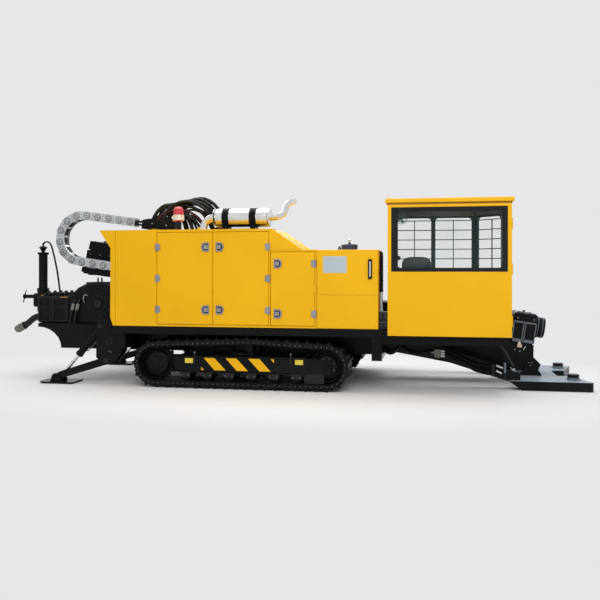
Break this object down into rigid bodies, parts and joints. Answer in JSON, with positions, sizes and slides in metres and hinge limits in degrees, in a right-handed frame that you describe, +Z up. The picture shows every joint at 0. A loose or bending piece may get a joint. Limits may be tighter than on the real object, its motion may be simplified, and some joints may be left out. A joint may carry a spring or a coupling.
{
  "type": "horizontal directional drill",
  "caption": "Crawler drilling machine with a closed hood, side cab, inclined drill mast with sliding power head, clamps, anchor plate, mud pump and rear stabilizers.",
  "frame": {"origin": "on the ground under the middle of the machine's box", "axes": "+X points to the drilling end with the anchor plate, +Y to the side away from the hood and cab, +Z up"},
  "size_m": [8.2116, 2.4, 2.6582],
  "materials": {
    "yellow_paint": "semi-gloss paint",
    "black_paint": "satin paint",
    "cast": "dark rough casting",
    "track_rubber": "dark worn track",
    "hose": "matt rubber",
    "zinc": "zinc plated",
    "stainless": "polished stainless",
    "glass": "clear",
    "beacon": "red lens",
    "navy": "gloss paint",
    "soot": "matt vinyl"
  },
  "bodies": {
    "root": {"chassis_frame": "black_paint", "crawler_frame_right": "black_paint", "crawler_frame_left": "black_paint", "track_right": "track_rubber", "track_left": "track_rubber", "sprocket_right": "cast", "sprocket_left": "cast", "idler_right": "cast", "idler_left": "cast", "anchor_plate": "black_paint", "front_hoses": "hose", "hood_shell": "yellow_paint", "engine_block": "cast", "hydraulic_tank": "yellow_paint", "tank_filler": "navy", "muffler": "stainless", "muffler_straps": "black_paint", "exhaust_pipe": "stainless", "exhaust_inlet": "black_paint", "beacon": "beacon", "cab_shell": "yellow_paint", "cab_roof": "yellow_paint", "cab_floor": "black_paint", "cab_glass_near": "glass", "cab_glass_far_1": "glass", "cab_glass_far_2": "glass", "cab_glass_corner": "glass", "cab_guard": "black_paint", "seat": "soot", "console": "soot", "pump_tray": "black_paint", "pump_crankcase": "cast", "pump_fluid_end": "cast", "pump_damper": "black_paint", "pump_valve": "black_paint", "pump_discharge": "hose"},
    "mast": {"mast_beam": "black_paint", "vise_front": "black_paint", "cable_chain": "zinc", "chain_hoses": "hose"},
    "carriage": {"power_head": "black_paint", "chain_arm": "black_paint", "hose_arcs": "hose"},
    "spindle": {"spindle": "stainless"},
    "vise_rear": {"vise_rear": "black_paint"},
    "tilt_barrels": {"tilt_barrels": "black_paint"},
    "tilt_rods": {"tilt_rods": "stainless"},
    "hood_door_1": {"hood_door_1": "yellow_paint"},
    "hood_door_2": {"hood_door_2": "yellow_paint"},
    "hood_door_3": {"hood_door_3": "yellow_paint"},
    "cab_door": {"cab_door": "yellow_paint", "cab_glass_door": "glass"},
    "leg_arm_right": {"leg_arm_right": "black_paint"},
    "leg_pad_right": {"leg_pad_right": "black_paint"},
    "leg_barrel_right": {"leg_barrel_right": "black_paint"},
    "leg_rod_right": {"leg_rod_right": "stainless"},
    "leg_arm_left": {"leg_arm_left": "black_paint"},
    "leg_pad_left": {"leg_pad_left": "black_paint"},
    "leg_barrel_left": {"leg_barrel_left": "black_paint"},
    "leg_rod_left": {"leg_rod_left": "stainless"}
  },
  "joints": [
    {"name": "mast_tilt", "type": "hinge", "parent": "root", "child": "mast", "pos_m": [3.4, 0.25, 0.22], "axis": [0, 1, 0], "range_deg": [0, 11]},
    {"name": "carriage_slide", "type": "slide", "parent": "mast", "child": "carriage", "axis": [0.9903, 0, -0.1392], "range_m": [0, 3.4]},
    {"name": "spindle_spin", "type": "hinge", "parent": "carriage", "child": "spindle", "pos_m": [-0.8799, 0.25, 1.382], "axis": [0.9903, 0, -0.1392], "continuous": true},
    {"name": "vise_rotate", "type": "hinge", "parent": "mast", "child": "vise_rear", "pos_m": [2.9994, 0.25, 0.8367], "axis": [0.9903, 0, -0.1392], "range_deg": [0, 20]},
    {"name": "tilt_barrel_pivot", "type": "hinge", "parent": "root", "child": "tilt_barrels", "pos_m": [1.12, 0.25, 0.5], "axis": [0, 1, 0], "range_deg": [0, 30]},
    {"name": "tilt_rod_slide", "type": "slide", "parent": "tilt_barrels", "child": "tilt_rods", "axis": [-0.8744, 0, 0.4852], "range_m": [0, 0.27]},
    {"name": "hood_door_1_hinge", "type": "hinge", "parent": "root", "child": "hood_door_1", "pos_m": [-1.568, -1.1883, 1.455], "axis": [0, 0, -1], "range_deg": [0, 100]},
    {"name": "hood_door_2_hinge", "type": "hinge", "parent": "root", "child": "hood_door_2", "pos_m": [-0.011, -1.1883, 1.455], "axis": [0, 0, 1], "range_deg": [0, 100]},
    {"name": "hood_door_3_hinge", "type": "hinge", "parent": "root", "child": "hood_door_3", "pos_m": [0.597, -1.1883, 1.32], "axis": [0, 0, 1], "range_deg": [0, 100]},
    {"name": "cab_door_hinge", "type": "hinge", "parent": "root", "child": "cab_door", "pos_m": [3.0383, -1.129, 1.575], "axis": [0, 0, -1], "range_deg": [0, 100]},
    {"name": "leg_right_fold", "type": "hinge", "parent": "root", "child": "leg_arm_right", "pos_m": [-2.311, -1, 0.33], "axis": [0, 1, 0], "range_deg": [0, 34]},
    {"name": "leg_right_pad_pivot", "type": "hinge", "parent": "leg_arm_right", "child": "leg_pad_right", "pos_m": [-3.068, -1, 0.085], "axis": [0, 1, 0], "range_deg": [-9, 0]},
    {"name": "leg_right_ram_pivot", "type": "hinge", "parent": "root", "child": "leg_barrel_right", "pos_m": [-2.4, -1, 0.8], "axis": [0, 1, 0], "range_deg": [0, 26]},
    {"name": "leg_right_ram_slide", "type": "slide", "parent": "leg_barrel_right", "child": "leg_rod_right", "axis": [-0.6637, 0, -0.748], "range_m": [-0.26, 0]},
    {"name": "leg_left_fold", "type": "hinge", "parent": "root", "child": "leg_arm_left", "pos_m": [-2.311, 1, 0.33], "axis": [0, 1, 0], "range_deg": [0, 34]},
    {"name": "leg_left_pad_pivot", "type": "hinge", "parent": "leg_arm_left", "child": "leg_pad_left", "pos_m": [-3.068, 1, 0.085], "axis": [0, 1, 0], "range_deg": [-9, 0]},
    {"name": "leg_left_ram_pivot", "type": "hinge", "parent": "root", "child": "leg_barrel_left", "pos_m": [-2.4, 1, 0.8], "axis": [0, 1, 0], "range_deg": [0, 26]},
    {"name": "leg_left_ram_slide", "type": "slide", "parent": "leg_barrel_left", "child": "leg_rod_left", "axis": [-0.6637, 0, -0.748], "range_m": [-0.26, 0]}
  ],
  "couplings": [
    {"joint": "tilt_barrel_pivot", "follows": "mast_tilt", "ratio": 2.7172},
    {"joint": "tilt_rod_slide", "follows": "mast_tilt", "m_per_rad": 1.3983},
    {"joint": "leg_right_pad_pivot", "follows": "leg_right_fold", "ratio": -0.25},
    {"joint": "leg_right_ram_pivot", "follows": "leg_right_fold", "ratio": 0.7366},
    {"joint": "leg_right_ram_slide", "follows": "leg_right_fold", "m_per_rad": -0.4279},
    {"joint": "leg_left_pad_pivot", "follows": "leg_left_fold", "ratio": -0.25},
    {"joint": "leg_left_ram_pivot", "follows": "leg_left_fold", "ratio": 0.7366},
    {"joint": "leg_left_ram_slide", "follows": "leg_left_fold", "m_per_rad": -0.4279}
  ]
}
